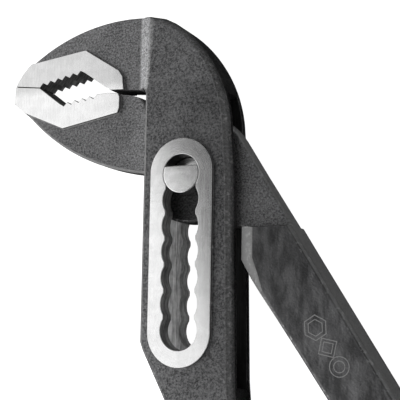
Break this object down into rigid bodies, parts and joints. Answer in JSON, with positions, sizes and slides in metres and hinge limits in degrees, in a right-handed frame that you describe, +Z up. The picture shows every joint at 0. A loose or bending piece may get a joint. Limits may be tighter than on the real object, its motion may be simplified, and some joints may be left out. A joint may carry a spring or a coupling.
{
  "type": "tongue and groove pliers",
  "caption": "Pass-through joint pliers: toothed jaws set by a pin in a lobed slot, closed by two long gripped handles.",
  "frame": {"origin": "on the pivot pin's axis, in the plane of the rear ground lands, on which the tool lies", "axes": "+Y along the adjustment slot towards the head, +X towards the inner handle's side, +Z up, from the rear lands to the front ones"},
  "size_m": [0.1644, 0.23, 0.0144],
  "materials": {
    "forging_outer": "blasted and black phosphated forging, with ground lands",
    "forging_inner": "blasted and black phosphated forging, with ground jaw faces",
    "ground_pin": "ground bright steel",
    "grip_hard": "matt moulded plastic",
    "grip_soft": "soft ribbed elastomer"
  },
  "bodies": {
    "outer": {"outer_lever": "forging_outer", "outer_grip": "grip_hard", "outer_grip_inlay": "grip_soft"},
    "pin_carriage": {"pivot_pin": "ground_pin"},
    "inner": {"inner_lever": "forging_inner", "inner_grip": "grip_hard", "inner_grip_inlay": "grip_soft"}
  },
  "joints": [
    {"name": "adjust_slide", "type": "slide", "parent": "outer", "child": "pin_carriage", "axis": [0, -1, 0], "range_m": [0, 0.0366]},
    {"name": "lever_pivot", "type": "hinge", "parent": "pin_carriage", "child": "inner", "pos_m": [0, 0, 0], "axis": [0, 0, 1], "range_deg": [0, 75]}
  ]
}
